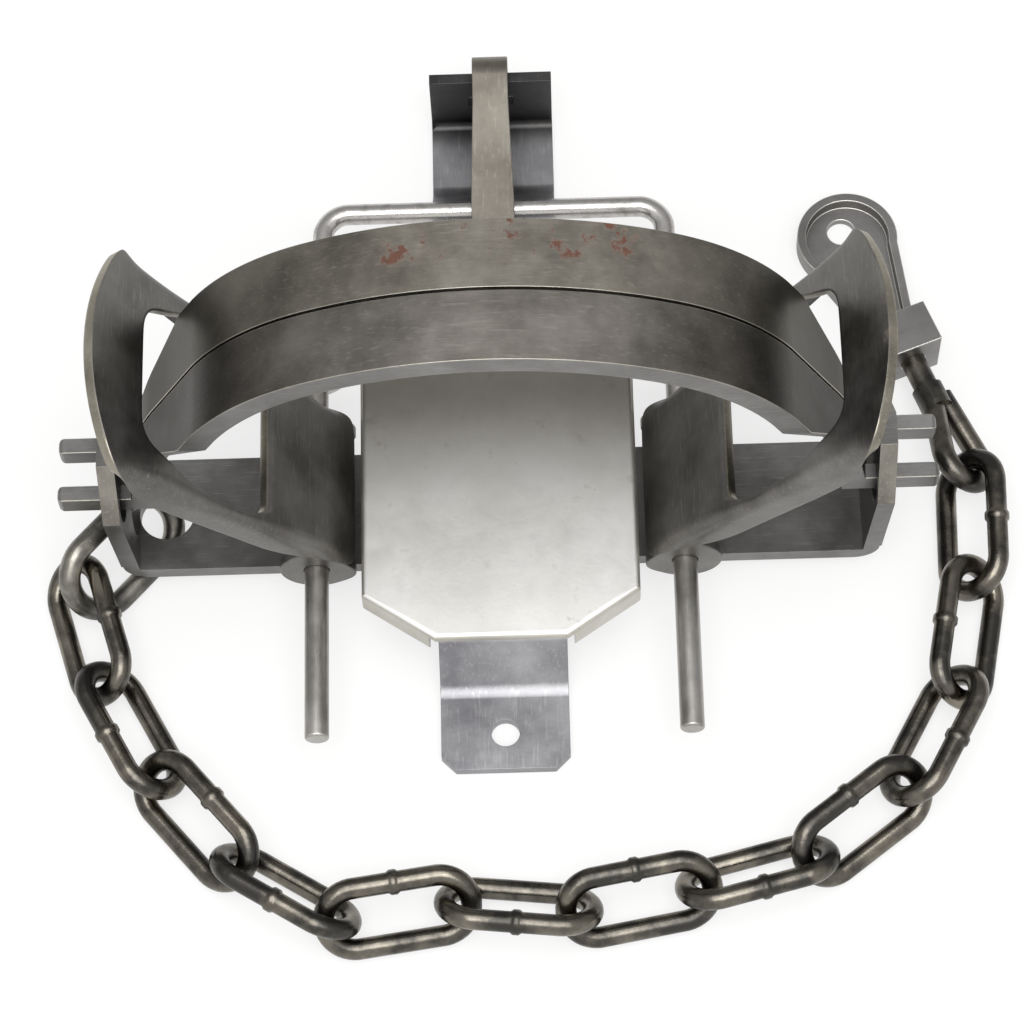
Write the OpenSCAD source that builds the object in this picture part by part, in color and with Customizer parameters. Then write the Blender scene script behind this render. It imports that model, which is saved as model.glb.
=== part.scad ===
// Coil-spring foothold trap, fired: jaws closed, levers up, chain laid in front.
// X runs along the base strip, Y from the front tab to the dog post, Z up.
// The origin is the middle of the base strip's underside; the ground lies a little below it.

/* [Jaws] */
// Height of the closed jaws above their pivots
jaw_rise = 62.5; // [58:0.5:66]
// Outer radius of the jaw's top
jaw_top_r = 70; // [66:1:76]
// Outer radius of the jaw's shoulders
jaw_shoulder_r = 42; // [38:1:46]
// Thickness of the jaw strip, measured along the hoop's radius
jaw_t = 4.2; // [3:0.1:5]
// Width of one jaw strip
jaw_w = 12.2; // [10:0.1:13]
// Distance from the trap's middle plane to each jaw's pivot
jaw_pivot_y = 5.6; // [5.2:0.1:6]
// Height of the jaw pivots above the underside of the base strip
jaw_pivot_h = 20; // [18:0.5:22]
// Width of the square-cut tang that turns in the post
tang_w = 5; // [4:0.1:5.4]
// Height of the tang
tang_h = 4; // [3:0.1:4.6]
// Length of tang that shows outside the post
tang_stub = 6.5; // [3:0.5:8]

/* [Base strip] */
// Width of the base strip
base_w = 21; // [20:0.5:24]
// Thickness of the base strip and its posts
base_t = 3; // [2.5:0.1:3.4]
// Outward lean of the jaw posts, in degrees
post_lean = 4; // [2:0.5:8]
// Height of the jaw posts above the underside of the base strip
post_h = 29; // [27:0.5:32]
// Width of a post's top edge
post_top_w = 6; // [4:0.5:9]
// Diameter of the chain hole in the left end of the base strip
chain_hole_d = 9.4; // [9:0.1:10]
// Diameter of the chain hole in the left post
post_hole_d = 9.8; // [9.4:0.1:10]

/* [Cross strip] */
// Width of the cross strip
cross_w = 22; // [20:0.5:25]
// Thickness of the cross strip
cross_t = 2; // [1.6:0.1:2.4]
// Distance from the middle to the front end of the tab
tab_end = 47; // [44:0.5:54]
// Length of the tab that lies on the ground
tab_len = 14.3; // [12:0.1:17]
// Diameter of the hole in the tab
tab_hole_d = 4.9; // [3:0.1:6]
// Cut on the tab's two front corners
tab_chamfer = 2.5; // [1:0.1:4]
// Distance from the middle to the front face of the dog post
dog_post_y = 79.8; // [78:0.2:86]
// Height of the dog post
dog_post_h = 16.5; // [16:0.5:20]
// Length of the rear foot that lies on the ground
foot_len = 14.4; // [11:0.1:16]
// Diameter of the two rivets
rivet_d = 5; // [4:0.1:6]
// Distance between the two rivets
rivet_spacing = 11; // [8:0.5:14]

/* [Levers, pins and spring] */
// Distance from the middle to each spring pin
pin_x = 31.5; // [30:0.1:33]
// Height of the pins above the underside of the base strip
pin_h = 8.5; // [8:0.1:9.5]
// Diameter of the pins
pin_d = 4.15; // [3.6:0.05:4.4]
// Length of pin that stands out in front of the front lever ear
pin_front = 31; // [20:0.5:40]
// Angle of the raised levers
lever_raise = 57; // [54:0.5:58]
// Distance from the pin to the middle of the lever's outer edge
lever_reach = 68; // [66:0.5:72]
// Radius of the lever's outer edge
lever_edge_r = 32; // [28:0.5:40]
// Width of the lever's outer bar at its middle
lever_bar = 13; // [10:0.5:14]
// Thickness of the lever's sheet
lever_t = 2; // [1.6:0.1:2.2]
// Width over the lever's outer corners
lever_w = 41; // [40:0.5:44]
// Width of the opening that the jaws stand in
lever_gap_w = 31.2; // [31:0.2:32]
// Depth of the turned-down flange along each lever arm
lever_flange = 6; // [4:0.5:7]
// Diameter of the spring wire
spring_wire = 3.7; // [3:0.1:3.8]
// Turns in each coil
spring_turns = 5; // [3:1:5]
// Gap between neighbouring turns
spring_gap = 0.6; // [0.5:0.05:1]
// Length of each spring leg under its lever
spring_leg = 32; // [24:1:38]
// Distance from the middle to the wire that bridges the two coils
bridge_y = 56.3; // [55:0.1:57]

/* [Pan and dog] */
// Width of the pan
pan_w = 47.2; // [42:0.2:48]
// Distance from the middle to the pan's front edge
pan_front = 29.8; // [28:0.2:32]
// Width of the pan's straight front edge
pan_nose_w = 22.4; // [22:0.2:30]
// Distance from the middle to the pan's rear edge
pan_rear = 24; // [22:0.5:27]
// Length of the slanted corners, measured along Y
pan_corner = 8.4; // [6:0.2:11]
// Height of the pan's top above the underside of the base strip
pan_h = 14.3; // [13.8:0.1:16]
// Thickness of the pan's sheet
pan_t = 1.4; // [1:0.1:1.6]
// Depth of the pan's turned-down skirt
pan_skirt = 5.5; // [4:0.1:5.6]
// Diameter of the pan's hinge bolt
bolt_d = 3; // [2.5:0.1:3.2]
// Width of the dog at its curl
dog_w = 6.4; // [5:0.1:7.6]
// Width of the dog at its tip
dog_tip_w = 7.6; // [6:0.1:9]
// Thickness of the dog
dog_t = 2; // [1.6:0.1:2.2]
// Distance from the middle to the dog's tip
dog_tip_y = 32; // [29:0.5:38]

/* [Chain and swivel] */
// Wire diameter of the chain links
link_wire = 3.6; // [3:0.1:3.8]
// Half the inner length of a link's straight sides
link_half = 7; // [6.6:0.1:7.4]
// Radius of a link's ends, to the middle of the wire
link_r = 5.4; // [5.2:0.1:5.8]
// Slack between neighbouring links, along the chain
link_slack = 0.9; // [0.7:0.1:1.4]
// Tilt of the links, to one side and the other in turn, in degrees
link_tilt = 42; // [40:1:45]
// Wire diameter of the anchor link
anchor_wire = 3.8; // [3.4:0.1:3.8]
// Wire diameter of the swivel's hook
hook_wire = 4; // [3.4:0.1:4.2]
// Diameter of the swivel's shank
shank_d = 4.4; // [4:0.1:5]
// Diameter of the swivel strap's eye hole
eye_d = 5; // [4:0.1:6]
// Thickness of the swivel strap's sheet
strap_t = 1.6; // [1.2:0.1:2]

/* [Hidden] */
$fn = 64;
eps = 0.01;

// Gaps between pieces
moving_gap = 0.4;
running_gap = 0.05;
jaw_seam = 0.5;

// The anchor link passes under the base strip, which stands clear of the ground by that much
ground = -anchor_wire - 0.5;
cross_top = base_t + cross_t;

// The jaw hoop: a top arc, two shoulder arcs and two straight legs
top_half_angle = 25;
leg_angle = 63;
foot_angle = 80;
leg_run = 16;
leg_bend_r = 40;
shoulder_x = (jaw_top_r - jaw_shoulder_r) * sin(top_half_angle);
shoulder_h = jaw_rise - jaw_top_r + (jaw_top_r - jaw_shoulder_r) * cos(top_half_angle);
leg_top_x = shoulder_x + jaw_shoulder_r * sin(leg_angle);
leg_top_h = shoulder_h + jaw_shoulder_r * cos(leg_angle);
bend_x = leg_top_x + leg_run * cos(leg_angle);
bend_h = leg_top_h - leg_run * sin(leg_angle);
bend_centre = [bend_x - leg_bend_r * sin(leg_angle), bend_h - leg_bend_r * cos(leg_angle)];
foot_top = bend_centre + leg_bend_r * [sin(foot_angle), cos(foot_angle)];
leg_foot_x = foot_top[0] + foot_top[1] / tan(foot_angle);
shoulder_steps = 15;
bend_steps = 6;
leg_overhang = 0.3;
leg_taper_from = 18.5;
leg_taper_to = 33.5;
heel_cut = 0.45;
jaw_inner_y = jaw_pivot_y - jaw_seam / 2;

// The posts stand just outside the jaws' legs
tang_hole_d = sqrt(tang_w * tang_w + tang_h * tang_h) + 2 * running_gap;
post_foot_x = leg_foot_x + base_t + 1 - (jaw_pivot_h - tang_h) * tan(post_lean);
post_bend_r = 4.5;
post_x = post_foot_x + jaw_pivot_h * tan(post_lean);
post_shoulder = jaw_pivot_h + 1.5;
chain_hole_x = post_foot_x - 7.3;
tang_end_x = post_x + base_t / 2 + tang_stub;

// Pin ears on the base strip
ear_t = 2.5;
ear_wall = 1.95;
ear_r = pin_d / 2 + ear_wall;

// Levers
plate_h = ear_r + 0.3;
lever_ear_t = 2;
lever_ear_r = 6.3;
lever_ear_y = base_w / 2 + 1.5;
lever_inner = -2.5;
crossbar_end = 22;
arm_start_u = 6;
arm_start_y = lever_ear_y + lever_ear_t + 0.5;
arm_end_u = lever_reach - 10;
arm_angle = atan((lever_w / 2 - arm_start_y) / (arm_end_u - arm_start_u));
arm_len = (arm_end_u - arm_start_u) / cos(arm_angle);
flange_r = lever_t + 1.5;
bar_inner_u = lever_reach - lever_bar;
opening_flare = 6;
opening_neck = 13;
opening_corner = 8;
bar_sheet = bar_inner_u - 14;

// Pins
pin_front_y = -(lever_ear_y + lever_ear_t + pin_front);
spring_r = pin_d / 2 + 0.7 + spring_wire / 2;
spring_pitch = spring_wire + spring_gap;
coil_start = lever_w / 2 + 2.4;
coil_end = coil_start + spring_turns * spring_pitch;
pin_rear_y = coil_end - 1;

// Cross strip
slope_len = base_t - ground;
tab_hole_in = 6.6;
dog_bar_h = 5;
dog_post_top = ground + dog_post_h;
dog_bar_z = dog_post_top - dog_bar_h / 2;
dog_inner_r = sqrt(dog_bar_h * dog_bar_h + cross_t * cross_t) / 2 + 0.35;
dog_outer_r = dog_inner_r + dog_t;
dog_axis_y = dog_post_y + cross_t / 2;
dog_slot_w = dog_w + 1.6;
dog_slot_h = dog_t + 1.2;

// Pan hinge
hinge_y = 17.5;
hinge_r = 2.9;
hinge_z = pan_h - pan_t - hinge_r - moving_gap;
lug_t = 1.8;
pan_lug_x = cross_w / 2 - 2 * lug_t - moving_gap;
bolt_head_t = 2;
bolt_head_d = 5.6;
nut_w = 5.5;

// Chain route: headings of the links in degrees, from the anchor link round the front
link_count = 12;
link_pitch = 2 * (link_half + link_r) - link_wire - link_slack;
link_headings = [-74, -62, -50, -32, 8, -6, 10, 14, 37, 61, 79, 88];
link_tilts = [1, -1, 1, -1.2, 0.95, -1, 1, -1, 1, -1, 1, -1] * link_tilt;
chain_start = [-74, -10.9];
function link_z(i) = ground + link_wire / 2 + link_r * abs(sin(link_tilts[i - 1]));
anchor_heading = 228;
anchor_tilt = -52;
anchor_r = 6.5;
anchor_half = 5;
anchor_z = ground + anchor_wire / 2 + 0.05 - anchor_r * sin(anchor_tilt);
anchor_reach = anchor_r + anchor_half;
anchor_tip = [chain_hole_x, 1.6];

function heading_vec(a) = [cos(a), sin(a)];
function link_joint(i) =
    i == 0 ? chain_start : link_joint(i - 1) + link_pitch * heading_vec(link_headings[i - 1]);

// Swivel: a hook that the last link hangs in, a shank, and a dished strap
swivel_heading = 111;
hook_tilt = 42;
hook_r = 4.8;
hook_z = ground + hook_wire / 2 + hook_r * sin(hook_tilt);
chain_end = link_joint(link_count);
hook_centre = chain_end + (hook_r - 2) * heading_vec(swivel_heading);
limb_len = 13;
limb_angle = 8;
stem_angle = 22;
stem_len = 16;
collar_len = 4.4;
collar_x = hook_r / sin(stem_angle) - collar_len / 2;
collar_swell = 1.2;
shank_len = 7.2;
head_d = 5.8;
head_t = 1.8;
box_len = 8;
box_w = 10.5;
box_h = 2 * (hook_z - ground);
strap_len = 20;
strap_r = 9;
strap_neck_w = 8;
strap_rim = 4;

// Spring path
bridge_z = cross_top + 0.1 + spring_wire / 2;
bridge_corner_x = pin_x - 1.1;
bridge_corner_r = 4.4;
bridge_top = bridge_z + spring_wire / 2;
dog_slope = atan((dog_bar_z + dog_inner_r - bridge_top - moving_gap) / (dog_axis_y - bridge_y));
tube_sides = 6;
rings_per_turn = 8;

function link_name(i) = str("chain_link_", i < 10 ? "0" : "", i);

// Box with its low corner at p, given the high corner q
module box(p, q) {
    translate(p) cube(q - p);
}

// Round bar along Y from y0 to y1
module bar_y(d, y0, y1) {
    translate([0, y0, 0]) rotate([-90, 0, 0]) cylinder(d = d, h = y1 - y0);
}

// Round bar along X from x0 to x1
module bar_x(d, x0, x1) {
    translate([x0, 0, 0]) rotate([0, 90, 0]) cylinder(d = d, h = x1 - x0);
}

// Profile in Y and Z, drawn out along X over the width w
module across(w) {
    rotate([90, 0, 90]) linear_extrude(height = w, center = true) children();
}

// Profile in X and Z, drawn out along Y from y0 to y1
module along(y0, y1) {
    translate([0, y1, 0]) rotate([90, 0, 0]) linear_extrude(height = y1 - y0) children();
}

// Base strip

module base_profile() {
    run = post_h * tan(post_lean);
    square([2 * post_foot_x - base_t, 2 * base_t], center = true);
    for (m = [0, 1]) mirror([m, 0])
        polygon([[post_foot_x - base_t, 0], [post_foot_x, 0], [post_foot_x + run, post_h],
                 [post_foot_x + run - base_t, post_h]]);
}

// Everything outside the rounded bend below a post
module bend_cut() {
    difference() {
        translate([post_foot_x - post_bend_r, -2 * base_t])
            square([4 * post_bend_r, post_bend_r + 2 * base_t]);
        translate([post_foot_x - post_bend_r, post_bend_r]) circle(post_bend_r);
        translate([post_foot_x - post_bend_r - 1, post_bend_r - eps]) square([4 * post_bend_r, 1]);
    }
}

module post_outline() {
    across(4 * post_x)
        polygon([[-base_w / 2 - 1, 0], [base_w / 2 + 1, 0], [base_w / 2 + 1, post_shoulder],
                 [base_w / 2, post_shoulder], [post_top_w / 2, post_h], [-post_top_w / 2, post_h],
                 [-base_w / 2, post_shoulder], [-base_w / 2 - 1, post_shoulder]]);
}

module base_blank() {
    difference() {
        intersection() {
            along(-base_w / 2, base_w / 2) difference() {
                base_profile();
                bend_cut();
                mirror([1, 0]) bend_cut();
            }
            post_outline();
        }
        for (side = [-1, 1])
            translate([0, side * jaw_pivot_y, jaw_pivot_h]) bar_x(tang_hole_d, -2 * post_x, 2 * post_x);
    }
}

module pin_ear(side) {
    y0 = side > 0 ? base_w / 2 - ear_t : -base_w / 2;
    difference() {
        union() {
            box([pin_x - ear_r, y0, base_t - eps], [pin_x + ear_r, y0 + ear_t, pin_h]);
            translate([pin_x, 0, pin_h]) bar_y(2 * ear_r, y0, y0 + ear_t);
        }
        translate([pin_x, 0, pin_h]) bar_y(pin_d, y0 - 1, y0 + ear_t + 1);
    }
}

module base_strip() {
    color("#6f6d66") difference() {
        union() {
            base_blank();
            for (m = [0, 1], side = [-1, 1]) mirror([m, 0, 0]) pin_ear(side);
        }
        translate([-chain_hole_x, 0, -1]) cylinder(d = chain_hole_d, h = base_t + 2);
        translate([0, -0.8, 8]) bar_x(post_hole_d, -2 * post_x, -post_foot_x + base_t);
        for (side = [-1, 1])
            translate([side * rivet_spacing / 2, 0, -1]) cylinder(d = rivet_d, h = base_t + 2);
    }
}

module rivets() {
    head_d = 1.7 * rivet_d;
    head_h = 1.5;
    color("#7d7b74") for (side = [-1, 1]) translate([side * rivet_spacing / 2, 0, 0]) {
        translate([0, 0, -head_h]) cylinder(d = head_d, h = head_h);
        cylinder(d = rivet_d, h = cross_top);
        translate([0, 0, cross_top]) cylinder(d = head_d, h = head_h);
    }
}

// Cross strip

module cross_profile() {
    front_slope = -(tab_end - tab_len);
    rear_slope = dog_post_y - foot_len;
    low = ground + cross_t;
    polygon([[-tab_end, ground], [front_slope, ground], [front_slope + slope_len, base_t],
             [rear_slope - slope_len, base_t], [rear_slope, ground], [dog_post_y + cross_t, ground],
             [dog_post_y + cross_t, dog_post_top], [dog_post_y, dog_post_top], [dog_post_y, low],
             [rear_slope, low], [rear_slope - slope_len, cross_top],
             [front_slope + slope_len, cross_top], [front_slope, low], [-tab_end, low]]);
}

module hinge_lug(x0) {
    box([x0, hinge_y - hinge_r, cross_top - eps], [x0 + lug_t, hinge_y + hinge_r, hinge_z]);
    translate([0, hinge_y, hinge_z]) bar_x(2 * hinge_r, x0, x0 + lug_t);
}

module cross_strip() {
    color("#85837c") difference() {
        union() {
            across(cross_w) cross_profile();
            hinge_lug(cross_w / 2 - lug_t);
            hinge_lug(-cross_w / 2);
        }
        translate([0, -tab_end + tab_hole_in, ground - 1]) cylinder(d = tab_hole_d, h = cross_t + 2);
        for (m = [0, 1]) mirror([m, 0, 0])
            translate([cross_w / 2, -tab_end, ground + cross_t / 2]) rotate(45)
                cube([sqrt(2) * tab_chamfer, sqrt(2) * tab_chamfer, 2 * cross_t + 2], center = true);
        for (side = [-1, 1])
            translate([side * rivet_spacing / 2, 0, base_t - 1]) cylinder(d = rivet_d, h = cross_t + 2);
        translate([0, hinge_y, hinge_z]) bar_x(bolt_d, -cross_w, cross_w);
        box([-dog_slot_w / 2, dog_post_y - 1, dog_post_top - dog_bar_h - dog_slot_h],
            [dog_slot_w / 2, dog_post_y + cross_t + 1, dog_post_top - dog_bar_h]);
    }
}

// Jaws, drawn with the hoop in X and Y and the strip's width along Z

// Right half of the hoop's outline, set in from its outer face by inset
function hoop_half(inset) = concat(
    [for (a = [0:2.5:top_half_angle])
        [0, jaw_rise - jaw_top_r] + (jaw_top_r - inset) * [sin(a), cos(a)]],
    [for (i = [1:shoulder_steps])
        let (a = top_half_angle + i / shoulder_steps * (leg_angle - top_half_angle))
        [shoulder_x, shoulder_h] + (jaw_shoulder_r - inset) * [sin(a), cos(a)]],
    [for (i = [0:bend_steps])
        let (a = leg_angle + i / bend_steps * (foot_angle - leg_angle))
        bend_centre + (leg_bend_r - inset) * [sin(a), cos(a)]],
    [[leg_foot_x + tang_h / 2 / tan(foot_angle) - inset / sin(foot_angle), -tang_h / 2]]);
function reversed(list) = [for (i = [len(list) - 1:-1:0]) list[i]];
function mirrored(list) = [for (p = list) [-p[0], p[1]]];

module jaw_blank() {
    outer = hoop_half(0);
    inner = hoop_half(jaw_t);
    linear_extrude(height = jaw_w)
        polygon(concat(outer, reversed(inner), mirrored(inner), reversed(mirrored(outer))));
    for (m = [0, 1]) mirror([m, 0, 0])
        translate([leg_foot_x - jaw_t, -tang_h / 2, jaw_inner_y - tang_w / 2])
            cube([tang_end_x - leg_foot_x + jaw_t, tang_h, tang_w]);
}

module leg_taper_cut() {
    low = jaw_inner_y + leg_overhang;
    rotate([0, 90, 0]) linear_extrude(height = 4 * leg_foot_x, center = true)
        polygon([[-low, -tang_h - jaw_rise], [-low, leg_taper_from], [-jaw_w - eps, leg_taper_to],
                 [-2 * jaw_w, leg_taper_to], [-2 * jaw_w, -tang_h - jaw_rise]]);
}

// Takes off the heel below the pivot, which would meet the other jaw's as they open
module heel_cut_away() {
    rotate([0, 90, 0]) linear_extrude(height = 4 * leg_foot_x, center = true)
        polygon([[eps, 0], [-heel_cut, -tang_h / 2], [-heel_cut, -tang_h], [eps, -tang_h]]);
}

module jaw() {
    translate([0, -jaw_seam / 2, jaw_pivot_h]) rotate([90, 0, 0]) difference() {
        jaw_blank();
        leg_taper_cut();
        heel_cut_away();
    }
}

module front_jaw() {
    color("#726f67") jaw();
}

module rear_jaw() {
    color("#77736a") mirror([0, 1, 0]) jaw();
}

// Levers, drawn flat with the pin along Y at the origin and the outer bar at +X

module arm_profile() {
    difference() {
        translate([-8, -lever_flange]) square([8, lever_flange]);
        translate([-8 - eps, -lever_flange - eps])
            square([8 - lever_t + eps, lever_flange - lever_t + eps]);
        difference() {
            translate([-flange_r, -flange_r]) square(flange_r + eps);
            translate([-flange_r, -flange_r]) circle(flange_r);
        }
    }
}

module lever_arm() {
    translate([arm_start_u, arm_start_y, plate_h + lever_t]) rotate(arm_angle)
        rotate([90, 0, 90]) linear_extrude(height = arm_len) arm_profile();
}

module lever_opening() {
    wide = lever_gap_w / 2;
    narrow = wide - 2;
    near = arm_start_y - 1.5;
    translate([0, 0, -lever_flange]) linear_extrude(height = plate_h + 2 * lever_flange)
        polygon([[crossbar_end, -near], [crossbar_end + opening_flare, -wide],
                 [bar_inner_u - opening_neck, -wide], [bar_inner_u - opening_corner, -narrow],
                 [bar_inner_u - 2, -narrow + 1.5], [bar_inner_u, -narrow + 5],
                 [bar_inner_u, narrow - 5], [bar_inner_u - 2, narrow - 1.5],
                 [bar_inner_u - opening_corner, narrow], [bar_inner_u - opening_neck, wide],
                 [crossbar_end + opening_flare, wide], [crossbar_end, near]]);
}

module lever_sheet() {
    translate([0, 0, plate_h]) linear_extrude(height = lever_t) union() {
        translate([lever_inner, -arm_start_y]) square([crossbar_end + 6 - lever_inner, 2 * arm_start_y]);
        intersection() {
            translate([lever_reach - lever_edge_r, 0]) circle(lever_edge_r, $fn = 128);
            translate([bar_sheet, -lever_w / 2]) square([lever_reach - bar_sheet, lever_w]);
        }
        polygon([[crossbar_end, -arm_start_y], [bar_inner_u, -lever_w / 2 + 2],
                 [bar_inner_u, lever_w / 2 - 2], [crossbar_end, arm_start_y]]);
    }
}

module lever_ear(y0) {
    box([-lever_ear_r, y0, 0], [lever_ear_r, y0 + lever_ear_t, plate_h]);
    box([lever_inner, y0, plate_h - eps], [lever_ear_r, y0 + lever_ear_t, plate_h + lever_t]);
    bar_y(2 * lever_ear_r, y0, y0 + lever_ear_t);
}

module lever() {
    difference() {
        union() {
            difference() {
                union() {
                    lever_sheet();
                    lever_arm();
                    mirror([0, 1, 0]) lever_arm();
                }
                lever_opening();
            }
            lever_ear(lever_ear_y);
            lever_ear(-lever_ear_y - lever_ear_t);
        }
        bar_y(pin_d + 2 * running_gap, -lever_w, lever_w);
    }
}

module right_lever() {
    color("#6b6861") translate([pin_x, 0, pin_h]) rotate([0, -lever_raise, 0]) lever();
}

module left_lever() {
    color("#6b6861") mirror([1, 0, 0]) translate([pin_x, 0, pin_h]) rotate([0, -lever_raise, 0]) lever();
}

// Spring pins, with chamfered free ends

module spring_pin() {
    chamfer = 0.5;
    translate([pin_x, 0, pin_h]) rotate([90, 0, 0]) rotate_extrude()
        polygon([[0, -pin_rear_y], [pin_d / 2 - chamfer, -pin_rear_y], [pin_d / 2, -pin_rear_y + chamfer],
                 [pin_d / 2, -pin_front_y - chamfer], [pin_d / 2 - chamfer, -pin_front_y], [0, -pin_front_y]]);
}

module right_pin() {
    color("#8b8982") spring_pin();
}

module left_pin() {
    color("#8b8982") mirror([1, 0, 0]) spring_pin();
}

// Coil spring: half the path from the right lever's leg to the middle of the bridge, then mirrored.
// Around the pin the angle runs from the bottom of the coil, inward and up.

function coil_point(a, y) = [pin_x + spring_r * sin(-a), y, pin_h - spring_r * cos(a)];
function bezier(p, t) =
    pow(1 - t, 3) * p[0] + 3 * t * pow(1 - t, 2) * p[1] + 3 * t * t * (1 - t) * p[2] + pow(t, 3) * p[3];

leg_rise = plate_h + lever_t - lever_flange - moving_gap - spring_wire / 2;
function lever_point(u, y, h) = [pin_x + u * cos(lever_raise) - h * sin(lever_raise), y,
                                 pin_h + u * sin(lever_raise) + h * cos(lever_raise)];
leg_tip = lever_point(spring_leg, coil_start - 3.2, leg_rise);
leg_mid = lever_point(spring_leg / 2, coil_start - 2, leg_rise - 1.4);
coil_first = lever_raise;
coil_last = 360 * spring_turns + 30 - 360;
coil_steps = ceil((coil_last + coil_first) / 360 * rings_per_turn);
coil_path = [for (i = [0:coil_steps])
    let (s = i / coil_steps, a = -coil_first + s * (coil_last + coil_first))
    coil_point(a, coil_start + s * (coil_end - coil_start))];
coil_exit = coil_path[coil_steps];
exit_dir = [-cos(coil_last), 0, sin(coil_last)];
run_start = [bridge_corner_x, coil_end + 6.5, bridge_z];
exit_curve = [coil_exit, coil_exit + 3 * exit_dir, run_start - [0, 4, 0], run_start];
corner_curve = [[bridge_corner_x, bridge_y - bridge_corner_r, bridge_z],
                [bridge_corner_x, bridge_y - 2, bridge_z],
                [bridge_corner_x - bridge_corner_r + 2, bridge_y, bridge_z],
                [bridge_corner_x - bridge_corner_r, bridge_y, bridge_z]];
half_path = concat([leg_tip, leg_mid], coil_path,
                   [for (i = [1:5]) bezier(exit_curve, i / 5)],
                   [for (i = [0:5]) bezier(corner_curve, i / 5)],
                   [[bridge_corner_x / 2, bridge_y, bridge_z]]);
half_count = len(half_path);
other_half = [for (i = [half_count - 1:-1:0]) [-half_path[i][0], half_path[i][1], half_path[i][2]]];
spring_path = concat(half_path, other_half);

function unit(v) = v / norm(v);
function tangent(path, i) =
    unit(path[min(i + 1, len(path) - 1)] - path[max(i - 1, 0)]);
// Ring axes carried along the path, so that the tube doesn't twist
function settle(v, t) = unit(v - (v * t) * t);
function carried_axes(path) =
    [for (i = 0, v = settle([0, 1, 0.2], tangent(path, 0)); i < len(path);
          i = i + 1, v = i < len(path) ? settle(v, tangent(path, i)) : v) v];

module tube(path, d, sides) {
    n = len(path);
    axes = carried_axes(path);
    rings = [for (i = [0:n - 1])
        let (v = axes[i], w = cross(tangent(path, i), v))
        for (k = [0:sides - 1]) path[i] + d / 2 * (v * cos(360 * k / sides) + w * sin(360 * k / sides))];
    walls = [for (i = [0:n - 2], k = [0:sides - 1], half = [0, 1])
        let (a = i * sides + k, b = i * sides + (k + 1) % sides)
        half == 0 ? [a, b, b + sides] : [a, b + sides, a + sides]];
    first = [for (k = [1:sides - 2]) [0, k + 1, k]];
    last = [for (k = [1:sides - 2]) [(n - 1) * sides, (n - 1) * sides + k, (n - 1) * sides + k + 1]];
    polyhedron(points = rings, faces = concat(walls, first, last), convexity = 10);
}

// Least gap between turns, from ring middles at least half a turn apart along the wire
turn_gap = min([for (i = [0:half_count - 1], j = [i + rings_per_turn / 2 + 1:1:half_count - 1])
    norm(half_path[i] - half_path[j])]) - spring_wire;

module coil_spring() {
    echo(least_spring_gap_mm = turn_gap);
    color("#b9b7b0") tube(spring_path, spring_wire, tube_sides);
}

// Pan

module pan_outline(inset) {
    w = pan_w / 2 - inset;
    nose = pan_nose_w / 2 - inset * 0.4;
    front = -pan_front + inset;
    rear = pan_rear - inset;
    polygon([[-nose, front], [nose, front], [w, front + pan_corner - inset * 0.6], [w, rear - 3], [w - 3, rear],
             [-w + 3, rear], [-w, rear - 3], [-w, front + pan_corner - inset * 0.6]]);
}

module pan_lug(x0) {
    difference() {
        union() {
            box([x0, hinge_y - hinge_r, hinge_z], [x0 + lug_t, hinge_y + hinge_r, pan_h - pan_t + eps]);
            translate([0, hinge_y, hinge_z]) bar_x(2 * hinge_r, x0, x0 + lug_t);
        }
        translate([0, hinge_y, hinge_z]) bar_x(bolt_d + 2 * running_gap, x0 - 1, x0 + lug_t + 1);
    }
}

module pan() {
    notch = cross_w / 2 + 1.2;
    color("#c9c8c4") {
        difference() {
            translate([0, 0, pan_h - pan_skirt]) linear_extrude(height = pan_skirt) pan_outline(0);
            translate([0, 0, pan_h - pan_skirt - 1])
                linear_extrude(height = pan_skirt - pan_t + 1) pan_outline(pan_t);
            box([-notch, -pan_front - 1, pan_h - pan_skirt - 1], [notch, -pan_front + 3, pan_h - pan_t]);
            box([-notch, pan_rear - 3, pan_h - pan_skirt - 1], [notch, pan_rear + 1, pan_h - pan_t]);
        }
        pan_lug(pan_lug_x);
        pan_lug(-pan_lug_x - lug_t);
    }
}

module pan_bolt() {
    color("#9a988f") translate([0, hinge_y, hinge_z]) {
        bar_x(bolt_d, -cross_w / 2 - nut_w / 2, cross_w / 2);
        bar_x(bolt_head_d, cross_w / 2, cross_w / 2 + bolt_head_t);
    }
}

module pan_nut() {
    color("#9a988f") translate([-cross_w / 2, hinge_y, hinge_z]) rotate([0, -90, 0]) difference() {
        cylinder(d = nut_w / cos(30), h = nut_w / 2 - 0.4, $fn = 6);
        translate([0, 0, -1]) cylinder(d = bolt_d, h = nut_w);
    }
}

// Dog: a curl round the bar of the dog post, a sloping run and a level tip

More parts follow.
